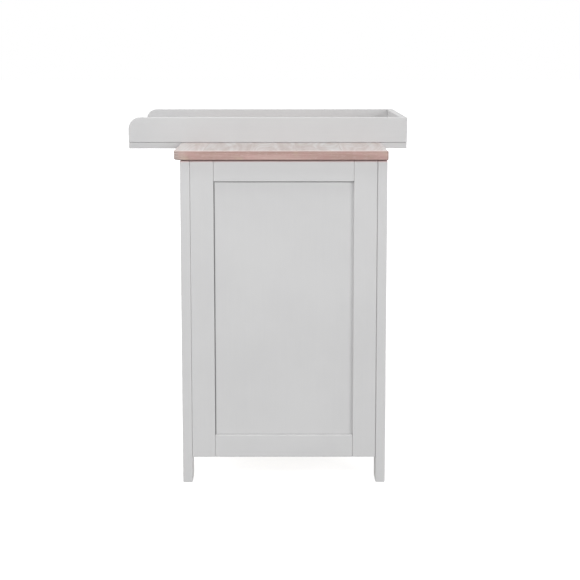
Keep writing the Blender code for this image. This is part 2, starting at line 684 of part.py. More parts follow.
def build_tray():
    """Two side rails and a back rail on the top, and boards that hook its two edges."""
    half_width = TRAY_WIDTH / 2
    rail_low_z = TOP_Z + FIT_GAP
    rail_high_z = TOP_Z + TRAY_RAIL_HEIGHT
    half_thickness = TRAY_RAIL_THICKNESS / 2
    outline = [(TRAY_FRONT_Y, rail_low_z), (TRAY_BACK_Y, rail_low_z), (TRAY_BACK_Y, rail_high_z)]
    outline += corner_arc(
        TRAY_FRONT_Y + TRAY_CORNER_RADIUS, rail_high_z - TRAY_CORNER_RADIUS, TRAY_CORNER_RADIUS, math.pi / 2
    )
    for side_name, side in SIDES.items():
        name = f"tray_rail_{side_name}"
        local = [(y, z - rail_low_z) for y, z in outline]
        mesh = prism_mesh(name, local, "YZ", -half_thickness, half_thickness)
        rail = place_object(name, mesh, (side * (half_width - half_thickness), 0.0, rail_low_z), PAINT)
        round_edges(rail, TRAY_EDGE_RADIUS, SHOWN_SEGMENTS)

    inner_half_width = half_width - TRAY_RAIL_THICKNESS - FIT_GAP
    board(
        "tray_back_rail",
        (-inner_half_width, TRAY_BACK_Y - TRAY_RAIL_THICKNESS, rail_low_z),
        (inner_half_width, TRAY_BACK_Y, rail_high_z),
        PAINT, TRAY_EDGE_RADIUS, SHOWN_SEGMENTS,
    )
    board_half_width = half_width - TRAY_BOARD_INSET
    depths = {
        "tray_front_board": (TRAY_FRONT_Y + TRAY_BOARD_INSET, TOP_FRONT_Y - FIT_GAP),
        "tray_rear_board": (TOP_BACK_Y + FIT_GAP, TRAY_BACK_Y - TRAY_BOARD_INSET),
    }
    for name, (low_y, high_y) in depths.items():
        board(
            name,
            (-board_half_width, low_y, TOP_Z - TRAY_BOARD_THICKNESS),
            (board_half_width, high_y, TOP_Z),
            PAINT, FRAME_EDGE_RADIUS, SHOWN_SEGMENTS,
        )


def hole_cutter(name, plane, location, reach):
    """A round cutter for a screw hole, square to a plane."""
    outline = []
    for step in range(BRACKET_HOLE_SIDES):
        angle = 2 * math.pi * step / BRACKET_HOLE_SIDES
        outline.append((BRACKET_HOLE_RADIUS * math.cos(angle), BRACKET_HOLE_RADIUS * math.sin(angle)))
    mesh = prism_mesh(name, outline, plane, -reach, reach)
    return place_object(name, mesh, location)


def build_brackets():
    """Cranked steel brackets: under the rear board, past the top's edge, on the back rail."""
    board_z = TOP_Z - TRAY_BOARD_THICKNESS - FIT_GAP
    edge_y = TOP_BACK_Y + FIT_GAP
    rail_y = BODY_BACK_Y + FIT_GAP
    crank_z = BODY_HEIGHT - FIT_GAP
    foot_z = board_z - BRACKET_DROP
    outline = [
        (edge_y, board_z),
        (edge_y, crank_z - BRACKET_SHEET),
        (rail_y, crank_z - BRACKET_SHEET - (edge_y - rail_y)),
        (rail_y, foot_z),
        (rail_y + BRACKET_SHEET, foot_z),
        (rail_y + BRACKET_SHEET, crank_z - BRACKET_SHEET - (edge_y - rail_y)),
        (edge_y + BRACKET_SHEET, crank_z - BRACKET_SHEET),
        (edge_y + BRACKET_SHEET, board_z - BRACKET_SHEET),
        (edge_y + BRACKET_REACH, board_z - BRACKET_SHEET),
        (edge_y + BRACKET_REACH, board_z),
    ]
    half_width = BRACKET_WIDTH / 2
    for side_name, side in SIDES.items():
        name = f"tray_bracket_{side_name}"
        centre_x = side * BRACKET_SPACING / 2
        local = [(y - edge_y, z - board_z) for y, z in outline]
        mesh = prism_mesh(name, local, "YZ", -half_width, half_width)
        bracket = place_object(name, mesh, (centre_x, edge_y, board_z), STEEL)
        upper_y = edge_y + (BRACKET_SHEET + BRACKET_REACH) / 2
        lower_z = foot_z + (crank_z - foot_z) * BRACKET_HOLE_SHARE
        reach = BRACKET_SHEET + CUT_OVERRUN
        cut(bracket, hole_cutter(f"{name}_upper_hole", "XY", (centre_x, upper_y, board_z), reach))
        cut(bracket, hole_cutter(f"{name}_lower_hole", "XZ", (centre_x, rail_y, lower_z), reach))


build_legs()
for frame_name, frame_side in SIDES.items():
    build_side_frame(frame_name, frame_side)
build_back()
build_front_rails()
build_top_board()
for drawer_number in range(1, DRAWER_COUNT + 1):
    build_drawer(drawer_number)
build_tray()
build_brackets()
bpy.context.view_layer.update()
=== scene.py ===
import math

import bmesh
import bpy
from mathutils import Matrix, Vector


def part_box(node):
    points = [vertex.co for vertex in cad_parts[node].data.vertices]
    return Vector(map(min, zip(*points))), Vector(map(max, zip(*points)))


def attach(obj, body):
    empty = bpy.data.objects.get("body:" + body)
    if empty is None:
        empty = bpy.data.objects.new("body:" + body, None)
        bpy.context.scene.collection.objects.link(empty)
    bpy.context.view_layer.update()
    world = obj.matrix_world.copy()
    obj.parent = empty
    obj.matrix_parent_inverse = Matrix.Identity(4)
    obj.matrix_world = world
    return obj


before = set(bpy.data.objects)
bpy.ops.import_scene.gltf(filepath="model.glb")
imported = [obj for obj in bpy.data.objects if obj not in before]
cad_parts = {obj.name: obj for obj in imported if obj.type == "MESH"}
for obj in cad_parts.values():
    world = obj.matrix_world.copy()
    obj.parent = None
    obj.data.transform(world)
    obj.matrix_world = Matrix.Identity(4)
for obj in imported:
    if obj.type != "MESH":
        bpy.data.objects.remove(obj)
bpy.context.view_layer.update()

TOP_LOW, TOP_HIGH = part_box("top_board")

# Camera, found by fitting the dresser's known corners to the photograph. Its shift is
# small, so that most views from other sides keep the whole dresser. The units are metres,
# radians and millimetres.
CAMERA_PLACE = (3.7536, 0.0505, 1.1378)
CAMERA_PITCH = 0.1263
CAMERA_YAW = 0.0030
CAMERA_LENS = 78.96
CAMERA_SENSOR = 36.0
CAMERA_SHIFT_Y = -0.14

# Studio light. Azimuth 0 is the dresser's front and 90 its right side. A lamp's level is
# what it adds to a white surface that faces it.
WORLD_LIGHT = 0.27
LAMPS = {
    "right_lamp": {"azimuth": 77, "elevation": 28, "level": 0.238, "size": 0.5, "distance": 3.7},
    "back_lamp": {"azimuth": 130, "elevation": 13, "level": 0.33, "size": 6.0, "distance": 13.0},
    "top_lamp": {"azimuth": 60, "elevation": 74, "level": 0.34, "size": 4.0, "distance": 13.0},
    "front_lamp": {"azimuth": -12, "elevation": 22, "level": 0.43, "size": 6.0, "distance": 13.0},
    "rear_lamp": {"azimuth": 182, "elevation": 18, "level": 0.12, "size": 4.0, "distance": 13.0},
    "left_lamp": {"azimuth": -118, "elevation": 8, "level": 0.48, "size": 6.0, "distance": 13.0},
}
LAMP_TARGET = (0.0, 0.0, 0.45)

# Floor. It glows a little less near the dresser than far from it, so that a shadow shows.
FLOOR_REACH = 40.0
FLOOR_SEGMENTS = 8
FLOOR_DROP = 0.0002
FLOOR_ROUGHNESS = 0.9
FLOOR_ALBEDO = 0.50
FLOOR_MOTTLE = 0.02
FLOOR_NOISE = {"scale": 1.5, "detail": 2.0}
FLOOR_RADII = (1.3, 5.0)
FLOOR_GLOWS = (0.87, 1.0)

# Colours of four values have an alpha, and those of three are linear colours or tints.
WHITE = (1.0, 1.0, 1.0, 1.0)
GREY = (0.5, 0.5, 0.5, 1.0)
BLACK = (0.0, 0.0, 0.0, 1.0)

# All surfaces. A pair is where a change starts and ends, or the levels at those ends. A
# noise has a scale of its own, or one along the grain and one across it.
UNIT = (0.0, 1.0)
NOISE_RANGE = (0.3, 0.7)
WOOD_IOR = 1.45

# Paint
PAINT_IOR = 1.48
PAINT_LIGHT = (0.625, 0.624, 0.626)
PAINT_DARK = (0.598, 0.597, 0.600)
# Lighter paint along every edge: partly thinner paint there, partly a painted sheen
PAINT_THIN_EDGE_AND_SHEEN = (0.665, 0.662, 0.660)
# Painted shade in the creases where a panel enters its grooves
PAINT_CREASE_SHADE = (0.140, 0.137, 0.140)
# Painted shade in and under the gap below the top board, warm as with light bounced off the oak
PAINT_GAP_SHADE = (0.560, 0.230, 0.220)
PAINT_CLOUD = {"scale": 4.5, "detail": 3.0, "roughness": 0.55}
PAINT_GRAIN = {"along": 7.0, "across": 240.0, "detail": 3.0, "roughness": 0.6}
PAINT_STIPPLE = {"scale": 520.0, "detail": 1.0}
PAINT_GRAIN_SHARE = 0.25
PAINT_TONES = (0.40, 0.85)
PAINT_ARRIS = (0.0002, 0.0022)
PAINT_EDGE_SHEEN_SHARE = 0.55
PAINT_ROUGHNESS = (0.36, 0.46)
PAINT_RELIEF = {"distance": 0.00004, "strength": 0.5}
PAINT_RELIEF_SHARE = 0.8
# Painted shade: the tray's front and rear boards and its back rail are painted darker, for the shade
# they lie in
TRAY_BOARD_PAINTED_SHADE = 0.95
TRAY_BACK_PAINTED_SHADE = 0.90

# How deep a panel's tongue lies in its groove, and the lines of painted shade where it enters: the
# side of the panel, where the line starts and ends past the tongue, and its share.
PANEL_TONGUE = 0.0077
PANEL_CREASE_SHADES = (
    ("Y", "low", 0.0012, 0.0040, 0.96),
    ("Z", "high", 0.0010, 0.0034, 0.80),
    ("Z", "low", 0.0010, 0.0030, 0.20),
)

# Painted shade, warm as with light bounced off the oak, in and below the gap under the top
# board, in metres from the board's underside
GAP_SHADE_LINE = (-0.0024, -0.0017)
GAP_SHADE_HALO = (-0.0070, -0.0020)
GAP_SHADE_HALO_SHARE = 0.5
GAP_END = (0.0010, 0.0020)

# Limed oak
OAK_LIGHT = (0.545, 0.388, 0.350)
OAK_MIDDLE = (0.455, 0.302, 0.270)
OAK_DARK = (0.350, 0.220, 0.192)
OAK_LIME = (0.700, 0.610, 0.580)
# Pale bloom of the faces: partly the limed finish, partly a painted sheen
OAK_BLOOM_AND_SHEEN = (0.648, 0.674, 0.679)
OAK_TAN = (0.520, 0.385, 0.290)
OAK_ARRIS_HIGHLIGHT = (0.760, 0.660, 0.640)
OAK_RIM = (0.790, 0.640, 0.610)
OAK_SHADE = (0.230, 0.150, 0.138)
OAK_COAT = 0.12
OAK_COAT_ROUGHNESS = 0.40
OAK_ROUGHNESS = (0.54, 0.66)
OAK_RELIEF = {"distance": 0.00012, "strength": 0.6}
OAK_NOISES = {
    "figure": {"along": 1.3, "across": 8.0, "detail": 2.0, "roughness": 0.35, "distortion": 0.3},
    "bands": {"along": 3.0, "across": 34.0, "detail": 4.0, "roughness": 0.55, "distortion": 0.5},
    "lines": {"along": 9.0, "across": 420.0, "detail": 3.0, "roughness": 0.6},
    "pores": {"along": 70.0, "across": 1500.0, "detail": 2.0},
    "patches": {"along": 22.0, "across": 30.0, "detail": 2.0},
}
OAK_LINE_SHARE = 0.45
OAK_BAND_SHARE = 0.55
OAK_MIDDLE_TONES = (0.34, 0.52)
OAK_LIGHT_TONES = (0.48, 0.66)
OAK_TAN_PATCHES = (0.56, 0.70)
OAK_TAN_SHARE = 0.45
OAK_TINTED_PATCHES = (0.35, 0.65)
OAK_PATCH_TINTS = ((1.03, 0.985, 0.985), (0.98, 1.015, 0.97))
OAK_PATCH_SHARE = 0.8
OAK_LIMED_PORES = (0.56, 0.70)
OAK_LIME_SHARE = 0.55
OAK_BLOOM_AND_SHEEN_BANDS = (0.35, 0.68)
OAK_BLOOM_AND_SHEEN_SHARES = (0.48, 0.74)

# Year rings of the oak. Their shares are the one on the strip and the one on the faces.
RING_RATE = 130.0
RING_WAVE = (-0.5, 0.9)
RING_LIGHT = (1.05, 1.05, 1.05)
RING_DARK = (0.86, 0.80, 0.77)
RING_SHARES = (0.16, 0.46)

# Planks of the two faces, and the veneer strip round the edge. A depth sets how far into
# the noise a plank or the strip is cut.
PLANK_LENGTH = 3.0
PLANK_WIDTH = 0.118
PLANK_ORIGIN = (1.0, 0.043, 0.0)
PLANK_STAGGER = 0.1
PLANK_SEAM = 0.0003
PLANK_SEAM_SHARE = 0.5
PLANK_DEPTH = 3.7
PLANK_TINTS = ((0.91, 0.94, 0.95), (1.06, 1.03, 1.02))
STRIP_DEPTH = 0.5
STRIP_TINT = (1.05, 1.05, 1.08)

# Edges of the oak, by the Z of the surface's normal
FACE_TURN = (0.72, 0.88)
ARRIS_TURN = (0.93, 0.999)
# Painted highlight on the upper edges of the oak, and painted shade on its lower edges
ARRIS_HIGHLIGHT_TURN = (0.66, 0.88)
ARRIS_HIGHLIGHT_SHARE = 0.85
UNDER_TURN = (-0.62, -0.02)

# Lines on the strip, in metres below the upper face
GLUE_START = (0.0003, 0.0009)
GLUE_END = (0.0030, 0.0046)
GLUE_SHARE = 0.35
# The strip's lower edge is darkened with painted shade
LOW_EDGE_SHADE = (0.0060, 0.0200)
LOW_EDGE_SHADE_SHARE = 0.12

# Ends of the oak, in metres from the side, front and back of the top board
RIM_SIDE = (-0.0320, -0.0070)
RIM_SHARE = 0.34
# The strip's rounded front corners are darkened in stripes with painted shade
CORNER_SIDE = (-0.0350, -0.0190)
CORNER_FRONT = (0.0015, 0.0200)
CORNER_SHADE_SHARE = 0.78
CORNER_LIGHT = (0.500, 0.452, 0.415)
CORNER_STRIPE_RATE = 330.0
CORNER_STRIPES = {"scale": 1.0, "detail": 2.0}
CORNER_STRIPE_TONES = (0.42, 0.60)
# A painted highlight on the strip just behind its front corners
CORNER_HIGHLIGHT_START = (0.0010, 0.0140)
CORNER_HIGHLIGHT_END = (0.0220, 0.0400)
CORNER_HIGHLIGHT_TINT = (1.13, 1.26, 1.26)
BACK_CORNER = (-0.0050, -0.0015)
BACK_CORNER_SHARE = 0.6

# Birch plywood, with the thickness of its layers
PLY_LIGHT = (0.735, 0.610, 0.445)
PLY_DARK = (0.600, 0.465, 0.310)
PLY_GLUE = (0.330, 0.215, 0.120)
PLY_FACE_TURN = (0.60, 0.75)
PLY_BANDS = {"along": 2.2, "across": 30.0, "detail": 3.0, "distortion": 0.8}
PLY_FIBRES = {"along": 30.0, "across": 900.0, "detail": 2.0, "roughness": 0.6}
PLY_FIBRE_SHARE = 0.35
PLY_TONES = (0.45, 0.90)
PLY_LAYER = 0.0014
PLY_LAYER_TONES = (0.0004, 0.0010)
PLY_GLUE_REACH = (0.0, 0.00022)
PLY_GLUE_SHARE = 0.6
PLY_ROUGHNESS = (0.46, 0.60)
PLY_RELIEF = {"distance": 0.00010, "strength": 0.5}

# Pine of the runner battens
PINE_LIGHT = (0.690, 0.500, 0.285)
PINE_DARK = (0.520, 0.325, 0.150)
PINE_RINGS = {"along": 1.5, "across": 60.0, "detail": 2.0, "distortion": 1.0}
PINE_FIBRES = {"along": 25.0, "across": 1100.0, "detail": 2.0, "roughness": 0.6}
PINE_FIBRE_SHARE = 0.30
PINE_TONES = (0.48, 0.80)
PINE_ROUGHNESS = (0.55, 0.70)
PINE_RELIEF = {"distance": 0.00012, "strength": 0.6}

# Foil-covered hardboard of the back panel
BOARD_LIGHT = (0.645, 0.642, 0.636)
BOARD_DARK = (0.615, 0.612, 0.605)
BOARD_CLOUD = {"scale": 2.0, "detail": 2.0}
BOARD_FIBRES = {"along": 160.0, "across": 420.0, "detail": 3.0, "roughness": 0.7}
BOARD_FIBRE_SHARE = 0.5
BOARD_TONES = (0.5, 1.0)
BOARD_ROUGHNESS = (0.55, 0.70)
BOARD_RELIEF = {"distance": 0.00008, "strength": 0.5}

# Zinc-plated steel
STEEL_LIGHT = (0.372, 0.375, 0.380)
STEEL_DARK = (0.282, 0.286, 0.293)
STEEL_BLOOM = {"along": 26.0, "across": 90.0, "detail": 2.0}
STEEL_LINES = {"along": 12.0, "across": 1800.0, "detail": 2.0, "roughness": 0.6}
STEEL_LINE_SHARE = 0.8
STEEL_TONES = (0.6, 1.2)
STEEL_ROUGHNESS = (0.33, 0.43)
STEEL_RELIEF = {"distance": 0.00003, "strength": 0.4}

# Screw heads. The rings and the cross are shares of the head's radius.
HEAD_RADIUS = 0.0038
HEAD_HEIGHT = 0.0019
HEAD_CROWN = 0.80
HEAD_STEPS = 24
HEAD_SHARES = (0.72, 0.88, 0.96)
HEAD_SHARP_ANGLE = math.radians(42)
CROSS_REACH = 0.56
CROSS_TAPER = 0.82
CROSS_ARM_ANGLE = math.radians(15)
CROSS_DEPTH = 0.0010
SCREW_TURN = math.radians(37)

# The drawers, and where the screws sit on their slides and on the brackets
DRAWER_COUNT = 3
SLIDE_SHEET = 0.0012
SLOT_INSET = 0.045
BRACKET_SHEET = 0.002
BRACKET_UPPER_INSET = 0.022
BRACKET_LOWER_RAISE = 0.0172

# Smooth shading of the CAD meshes. Corners nearer than the weld distance are one corner,
# and an edge with a turn above the sharp angle stays sharp.
WELD_DISTANCE = 0.00001
SHARP_ANGLE = math.radians(50)
NORMAL_WEIGHT = 50


class Nodes:
    """A shader node tree that is put together node by node."""

    def __init__(self, tree):
        self.tree = tree

    def add(self, kind, inputs=None, output=0, **settings):
        """Adds a node, with a value or a link for each input, and gives one of its outputs."""
        node = self.tree.nodes.new("ShaderNode" + kind)
        for setting, value in settings.items():
            setattr(node, setting, value)
        for socket, value in (inputs or {}).items():
            if isinstance(value, bpy.types.NodeSocket):
                self.tree.links.new(value, node.inputs[socket])
            else:
                node.inputs[socket].default_value = value
        return node.outputs[output]

    def point(self):
        return self.add("TexCoord", output="Object")

    def parts(self, vector):
        """The X, Y and Z of a vector."""
        x = self.add("SeparateXYZ", {0: vector})
        return {"X": x, "Y": x.node.outputs["Y"], "Z": x.node.outputs["Z"]}

    def joined(self, x, y, z):
        return self.add("CombineXYZ", {0: x, 1: y, 2: z})

    def math(self, operation, a, b=0.0):
        return self.add("Math", {0: a, 1: b}, operation=operation)

    def add_share(self, a, share, b):
        """A share of a, plus b."""
        return self.add("Math", {0: a, 1: share, 2: b}, operation="MULTIPLY_ADD")

    def product(self, first, *others):
        for other in others:
            first = self.math("MULTIPLY", first, other)
        return first

    def largest(self, first, *others):
        for other in others:
            first = self.math("MAXIMUM", first, other)
        return first

    def change(self, value, places, levels):
        """Goes smoothly from one level to another between two places, and holds the ends."""
        inputs = {
            "Value": value, "From Min": places[0], "From Max": places[1],
            "To Min": levels[0], "To Max": levels[1],
        }
        return self.add("MapRange", inputs, interpolation_type="SMOOTHSTEP")

    def rise(self, value, places, share=1.0):
        return self.change(value, places, (0.0, share))

    def fall(self, value, places, share=1.0):
        return self.change(value, places, (share, 0.0))

    def mix(self, factor, a, b, blend="MIX"):
        """Mixes two colours."""
        a = (*a, 1.0) if isinstance(a, tuple) else a
        b = (*b, 1.0) if isinstance(b, tuple) else b
        return self.add("Mix", {0: factor, 6: a, 7: b}, 2, data_type="RGBA", blend_type=blend)

    def mix_vectors(self, factor, a, b):
        return self.add("Mix", {0: factor, 4: a, 5: b}, 1, data_type="VECTOR")

    def noise(self, vector, scale, detail, roughness=0.5, distortion=0.0):
        inputs = {
            "Vector": vector, "Scale": scale, "Detail": detail,
            "Roughness": roughness, "Distortion": distortion,
        }
        return self.add("TexNoise", inputs)

    def grain(self, vector, grain_axis, along, across, **texture):
        """A noise with one scale along the grain and another across it."""
        scale = tuple(along if axis == grain_axis else across for axis in "XYZ")
        stretched = self.add("Mapping", {"Vector": vector, "Scale": scale})
        return self.noise(stretched, 1.0, **texture)


class Shader(Nodes):
    """A Principled material."""

    def __init__(self, name, **sockets):
        self.material = bpy.data.materials.new(name)
        self.material.use_nodes = True
        super().__init__(self.material.node_tree)
        self.surface = self.tree.nodes["Principled BSDF"]
        for socket, value in sockets.items():
            self.surface.inputs[socket.replace("_", " ")].default_value = value

    def drive(self, socket, source):
        self.tree.links.new(source, self.surface.inputs[socket])

    def cover(self, colour, roughness, height, relief):
        """Gives the surface its colour, its roughness and a relief of some height."""
        self.drive("Base Color", colour)
        self.drive("Roughness", roughness)
        bump_inputs = {
            "Height": height, "Distance": relief["distance"], "Strength": relief["strength"],
        }
        self.drive("Normal", self.add("Bump", bump_inputs))
        return self.material

    def side_distances(self, point):
        """Distances in metres from a point to the low and the high side of its board's box."""
        low = self.parts(self.add("Attribute", attribute_name="board_low", output="Vector"))
        high = self.parts(self.add("Attribute", attribute_name="board_high", output="Vector"))
        place = self.parts(point)
        sides = {}
        for axis in "XYZ":
            from_low = self.math("SUBTRACT", place[axis], low[axis])
            to_high = self.math("SUBTRACT", high[axis], place[axis])
            sides[axis] = {"low": from_low, "high": to_high}
        return sides

    def edge_distance(self, sides):
        """Distance in metres from a point on a board's surface to the board's nearest edge."""
        near = {axis: self.math("MINIMUM", *sides[axis].values()) for axis in "XYZ"}
        smaller = self.math("MINIMUM", near["X"], near["Y"])
        larger = self.math("MAXIMUM", near["X"], near["Y"])
        return self.math("MAXIMUM", smaller, self.math("MINIMUM", larger, near["Z"]))


def past(base, places):
    """Two places that are given as distances from a base."""
    return tuple(base + place for place in places)


def shaded(colour, shade):
    return tuple(shade * part for part in colour)


def panel_crease_shade(shader, sides, tongue):
    """Thin dark lines of painted shade where a panel enters its grooves."""
    lines = [
        shader.fall(sides[axis][end], past(tongue, (start, stop)), share)
        for axis, end, start, stop, share in PANEL_CREASE_SHADES
    ]
    return shader.largest(*lines)


def gap_shade_share(shader, height):
    """How much painted shade, warm as with light bounced off the oak, the paint gets in the gap under
    the top board and just below it.
    """
    line = shader.rise(height, past(TOP_LOW.z, GAP_SHADE_LINE))
    halo = shader.rise(height, past(TOP_LOW.z, GAP_SHADE_HALO), GAP_SHADE_HALO_SHARE)
    is_below = shader.fall(height, past(TOP_LOW.z, GAP_END))
    return shader.product(shader.largest(line, halo), is_below)


def paint_material(name, axis, shade=1.0, tongue=None):
    """Satin lacquer sprayed on wood, whose grain runs along one axis and barely shows.

    A panel has a tongue in its grooves, with painted shade where it enters them. Paint close
    under the top board gets painted shade, warm as with light bounced off the oak."""
    shader = Shader(name, IOR=PAINT_IOR)
    point = shader.point()
    cloud = shader.noise(point, **PAINT_CLOUD)
    grain = shader.grain(point, axis, **PAINT_GRAIN)
    stipple = shader.noise(point, **PAINT_STIPPLE)
    sides = shader.side_distances(point)
    arris = shader.fall(shader.edge_distance(sides), PAINT_ARRIS, PAINT_EDGE_SHEEN_SHARE)
    tone = shader.rise(shader.add_share(grain, PAINT_GRAIN_SHARE, cloud), PAINT_TONES)
    colour = shader.mix(tone, shaded(PAINT_DARK, shade), shaded(PAINT_LIGHT, shade))
    # Paint along the edges is lighter: thinner paint there, and a painted sheen
    colour = shader.mix(arris, colour, shaded(PAINT_THIN_EDGE_AND_SHEEN, shade))
    # Painted shade where a panel's tongue enters its grooves
    if tongue:
        colour = shader.mix(panel_crease_shade(shader, sides, tongue), colour, PAINT_CREASE_SHADE)
    # Painted shade in and just below the gap under the top board
    colour = shader.mix(gap_shade_share(shader, shader.parts(point)["Z"]), colour, PAINT_GAP_SHADE)
    roughness = shader.change(stipple, NOISE_RANGE, PAINT_ROUGHNESS)
    height = shader.add_share(grain, PAINT_RELIEF_SHARE, stipple)
    return shader.cover(colour, roughness, height, PAINT_RELIEF)


def oak_planks(shader, point, is_face):
    """A number from 0 to 1 for each plank of the faces, and the seams between the planks."""
    inputs = {
        "Vector": shader.add("Mapping", {"Vector": point, "Location": PLANK_ORIGIN}),
        "Color1": BLACK, "Color2": WHITE, "Mortar": GREY, "Scale": 1.0,
        "Mortar Size": PLANK_SEAM, "Mortar Smooth": 0.0,
        "Brick Width": PLANK_LENGTH, "Row Height": PLANK_WIDTH,
    }
    planks = shader.add("TexBrick", inputs, offset=PLANK_STAGGER, squash=1.0)
    plank = shader.product(shader.add("SeparateColor", {0: planks}, "Red"), is_face)
    return plank, planks.node.outputs["Fac"]


def oak_noises(shader, place, plank, is_face):
    """The noises of the wood, along X on the planks and round the edge on the strip."""
    face_place = shader.joined(place["X"], place["Y"], shader.product(plank, PLANK_DEPTH))
    round_edge = shader.math("ADD", shader.math("ABSOLUTE", place["X"]), place["Y"])
    edge_place = shader.joined(round_edge, place["Z"], STRIP_DEPTH)
    wood_place = shader.mix_vectors(is_face, edge_place, face_place)
    return {name: shader.grain(wood_place, "X", **noise) for name, noise in OAK_NOISES.items()}


def oak_wood(shader, noises, tone, lime, plank, is_face):
    """Colour of the limed wood, with its patches, its pale bloom on the faces, partly a painted sheen,
    and its year rings.
    """
    colour = shader.mix(shader.rise(tone, OAK_MIDDLE_TONES), OAK_DARK, OAK_MIDDLE)
    colour = shader.mix(shader.rise(tone, OAK_LIGHT_TONES), colour, OAK_LIGHT)
    tan = shader.rise(noises["patches"], OAK_TAN_PATCHES, OAK_TAN_SHARE)
    colour = shader.mix(tan, colour, OAK_TAN)
    patch_tint = shader.mix(shader.rise(noises["patches"], OAK_TINTED_PATCHES), *OAK_PATCH_TINTS)
    colour = shader.mix(OAK_PATCH_SHARE, colour, patch_tint, "MULTIPLY")
    plank_tint = shader.mix(is_face, STRIP_TINT, shader.mix(plank, *PLANK_TINTS))
    colour = shader.mix(1.0, colour, plank_tint, "MULTIPLY")
    colour = shader.mix(lime, colour, OAK_LIME)
    # Pale bloom on the faces: partly the limed finish, partly a painted sheen
    bloom = shader.change(noises["bands"], OAK_BLOOM_AND_SHEEN_BANDS, OAK_BLOOM_AND_SHEEN_SHARES)
    colour = shader.mix(shader.product(is_face, bloom), colour, OAK_BLOOM_AND_SHEEN)
    wave = shader.math("SINE", shader.product(noises["figure"], RING_RATE))
    ring_tint = shader.mix(shader.rise(wave, RING_WAVE), RING_DARK, RING_LIGHT)
    ring_share = shader.change(is_face, UNIT, RING_SHARES)
    return shader.mix(ring_share, colour, ring_tint, "MULTIPLY")


def oak_edges(shader, colour, facing_up, side, is_face):
    """A painted highlight on the upper edges, a pale rim at both ends of the faces, and painted shade
    on the lower edges.
    """
    arris = shader.fall(shader.math("ABSOLUTE", facing_up), ARRIS_TURN)
    # Painted highlight on the rounded upper edges
    arris_highlight = shader.rise(facing_up, ARRIS_HIGHLIGHT_TURN, ARRIS_HIGHLIGHT_SHARE)
    colour = shader.mix(shader.product(arris_highlight, arris), colour, OAK_ARRIS_HIGHLIGHT)
    rim = shader.rise(side, past(TOP_HIGH.x, RIM_SIDE), RIM_SHARE)
    colour = shader.mix(shader.product(rim, is_face), colour, OAK_RIM)
    # Painted shade on the rounded lower edges
    under = shader.fall(facing_up, UNDER_TURN)
    return shader.mix(shader.product(under, arris), colour, OAK_SHADE)


def oak_strip_lines(shader, colour, depth, is_strip):
    """The strip's lower edge darkened with painted shade, and the glue line below the veneer of the
    upper face.
    """
    low_edge_shade = shader.rise(depth, LOW_EDGE_SHADE, LOW_EDGE_SHADE_SHARE)
    colour = shader.mix(shader.product(low_edge_shade, is_strip), colour, OAK_SHADE)
    glue_line = shader.product(shader.rise(depth, GLUE_START, GLUE_SHARE), shader.fall(depth, GLUE_END))
    return shader.mix(shader.product(glue_line, is_strip), colour, OAK_SHADE)


def oak_strip_corners(shader, colour, place, side, is_strip):
    """The strip's front corners striped with painted shade, a painted highlight beside them, and dark
    back corners.
    """
    towards_side = shader.rise(side, past(TOP_HIGH.x, CORNER_SIDE))
    stripe_place = shader.joined(0.0, 0.0, shader.product(place["Z"], CORNER_STRIPE_RATE))
    stripe = shader.rise(shader.noise(stripe_place, **CORNER_STRIPES), CORNER_STRIPE_TONES)
    # Painted shade in stripes on the rounded front corners
    striped_shade = shader.mix(stripe, OAK_SHADE, CORNER_LIGHT)
    towards_front = shader.fall(place["Y"], past(TOP_LOW.y, CORNER_FRONT), CORNER_SHADE_SHARE)
    corner = shader.product(towards_front, towards_side, is_strip)
    colour = shader.mix(corner, colour, striped_shade)
    # Painted highlight on the strip just behind the front corners
    corner_highlight_start = shader.rise(place["Y"], past(TOP_LOW.y, CORNER_HIGHLIGHT_START))
    corner_highlight_end = shader.fall(place["Y"], past(TOP_LOW.y, CORNER_HIGHLIGHT_END))
    corner_highlight = shader.product(corner_highlight_start, corner_highlight_end, towards_side, is_strip)
    colour = shader.mix(corner_highlight, colour, CORNER_HIGHLIGHT_TINT, "MULTIPLY")
    towards_back = shader.rise(place["Y"], past(TOP_HIGH.y, BACK_CORNER), BACK_CORNER_SHARE)
    back_corner = shader.product(towards_back, towards_side, is_strip)
    return shader.mix(back_corner, colour, OAK_SHADE)


def oak_material():
    """Limed oak: wide planks on the two faces, and one veneer strip round the edge."""
    shader = Shader(
        "limed_oak_satin", IOR=WOOD_IOR, Coat_Weight=OAK_COAT, Coat_Roughness=OAK_COAT_ROUGHNESS,
    )
    point = shader.point()
    place = shader.parts(point)
    side = shader.math("ABSOLUTE", place["X"])
    facing_up = shader.parts(shader.add("TexCoord", output="Normal"))["Z"]
    is_face = shader.rise(shader.math("ABSOLUTE", facing_up), FACE_TURN)
    is_strip = shader.math("SUBTRACT", 1.0, is_face)
    depth = shader.side_distances(point)["Z"]["high"]
    plank, seam = oak_planks(shader, point, is_face)
    noises = oak_noises(shader, place, plank, is_face)
    bands = shader.product(noises["bands"], OAK_BAND_SHARE)
    tone = shader.add_share(noises["lines"], OAK_LINE_SHARE, bands)
    lime = shader.rise(noises["pores"], OAK_LIMED_PORES, OAK_LIME_SHARE)
    colour = oak_wood(shader, noises, tone, lime, plank, is_face)
    colour = oak_edges(shader, colour, facing_up, side, is_face)
    colour = oak_strip_lines(shader, colour, depth, is_strip)
    colour = oak_strip_corners(shader, colour, place, side, is_strip)
    colour = shader.mix(shader.product(seam, is_face, PLANK_SEAM_SHARE), colour, OAK_DARK)
    roughness = shader.change(noises["lines"], NOISE_RANGE, OAK_ROUGHNESS)
    height = shader.math("SUBTRACT", tone, lime)
    return shader.cover(colour, roughness, height, OAK_RELIEF)


